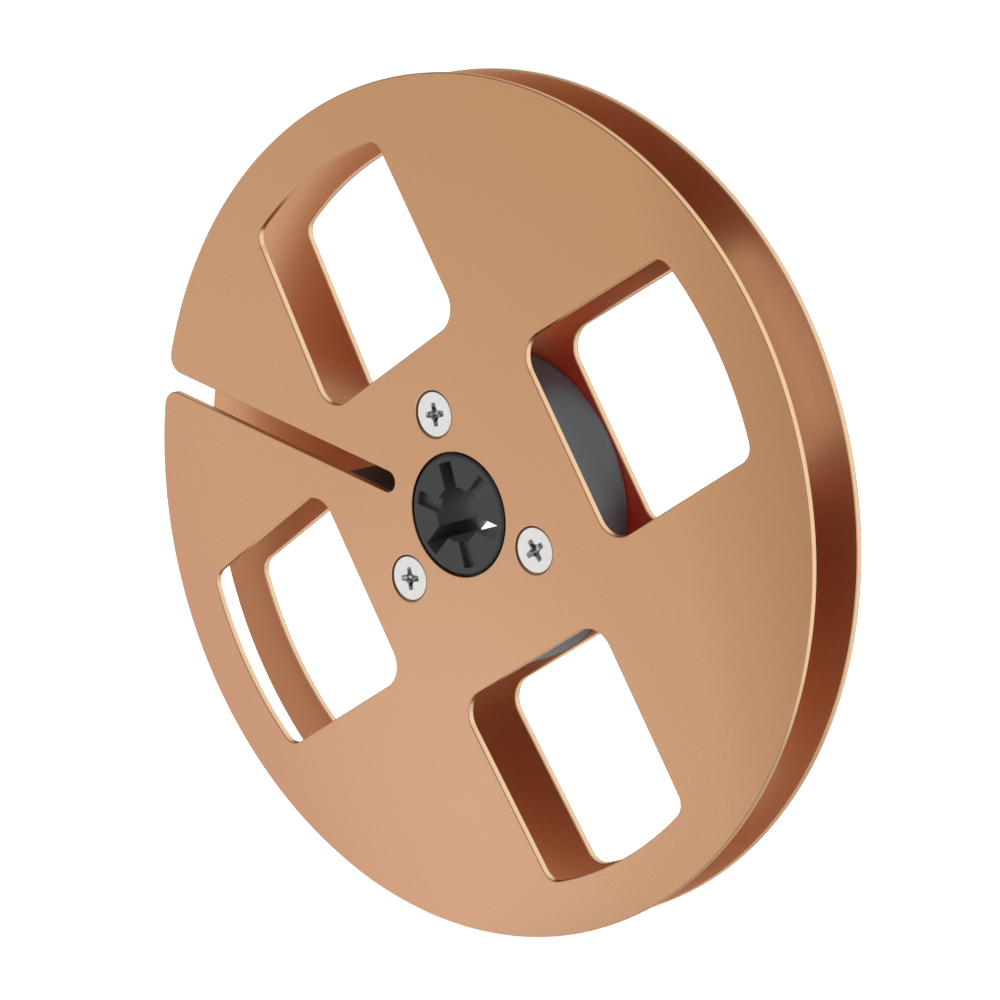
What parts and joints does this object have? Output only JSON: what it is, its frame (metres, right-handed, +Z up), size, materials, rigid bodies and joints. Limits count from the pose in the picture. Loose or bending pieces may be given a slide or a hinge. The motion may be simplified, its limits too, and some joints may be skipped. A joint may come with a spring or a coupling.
{
  "type": "tape reel",
  "caption": "Tape reel with two windowed metal flanges screwed to a dark drum hub with a keyed spindle bore; the front flange has a threading slot.",
  "frame": {"origin": "on the spindle axis, half way between the two flanges", "axes": "+Y along the spindle axis from the front flange, which has the threading slot, to the rear flange; +Z up, with the reel upright; +X to the right seen from the front"},
  "size_m": [0.127, 0.012, 0.127],
  "materials": {
    "copper_anodised": "satin anodised, copper colour",
    "black_plastic": "matte moulded",
    "plated_steel": "bright zinc plate"
  },
  "bodies": {
    "root": {"front_flange": "copper_anodised", "rear_flange": "copper_anodised", "hub": "black_plastic", "front_screw_1": "plated_steel", "front_screw_2": "plated_steel", "front_screw_3": "plated_steel", "rear_screw_1": "plated_steel", "rear_screw_2": "plated_steel", "rear_screw_3": "plated_steel"}
  },
  "joints": []
}
